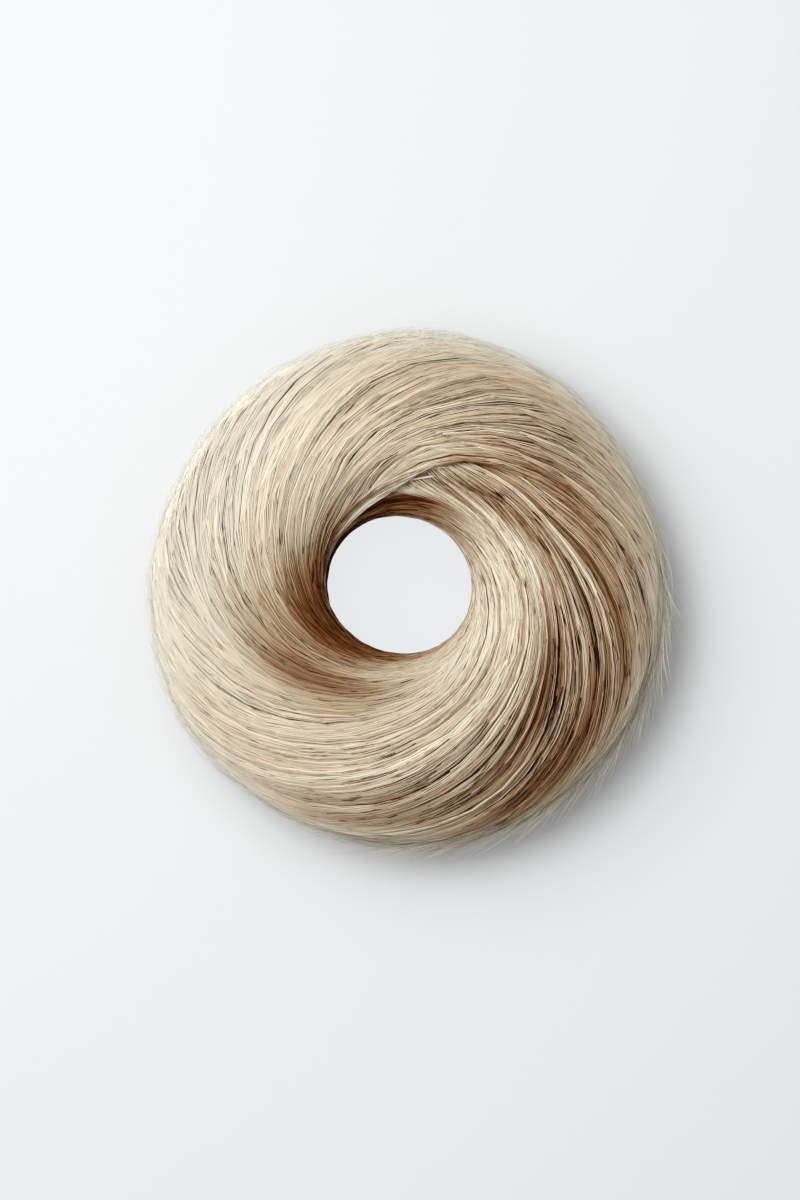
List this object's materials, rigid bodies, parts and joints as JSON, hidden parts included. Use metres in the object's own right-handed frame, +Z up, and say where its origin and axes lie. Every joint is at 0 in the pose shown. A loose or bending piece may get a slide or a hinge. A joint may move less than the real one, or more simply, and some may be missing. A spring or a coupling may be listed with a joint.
{
  "type": "top knot hairpiece",
  "caption": "Ring of smooth swirled hair with an open middle, slipped over a wearer's own bun to fill out a top knot.",
  "frame": {"origin": "centre of the outline, on the surface that the flat underside rests on", "axes": "+Z up through the hole, +Y towards the top edge of the picture, +X towards its right edge"},
  "size_m": [0.1108, 0.1097, 0.0408],
  "materials": {
    "packed_hair": "packed brown-blond hair, matted flat underneath",
    "lock_hair": "smooth ash-blond hair with brown lowlights, combed flat"
  },
  "bodies": {
    "root": {"core_ring": "packed_hair", "lock_01": "lock_hair", "lock_02": "lock_hair", "lock_03": "lock_hair", "lock_04": "lock_hair", "lock_05": "lock_hair", "lock_06": "lock_hair", "lock_07": "lock_hair", "lock_08": "lock_hair", "lock_09": "lock_hair", "lock_10": "lock_hair"}
  },
  "joints": []
}
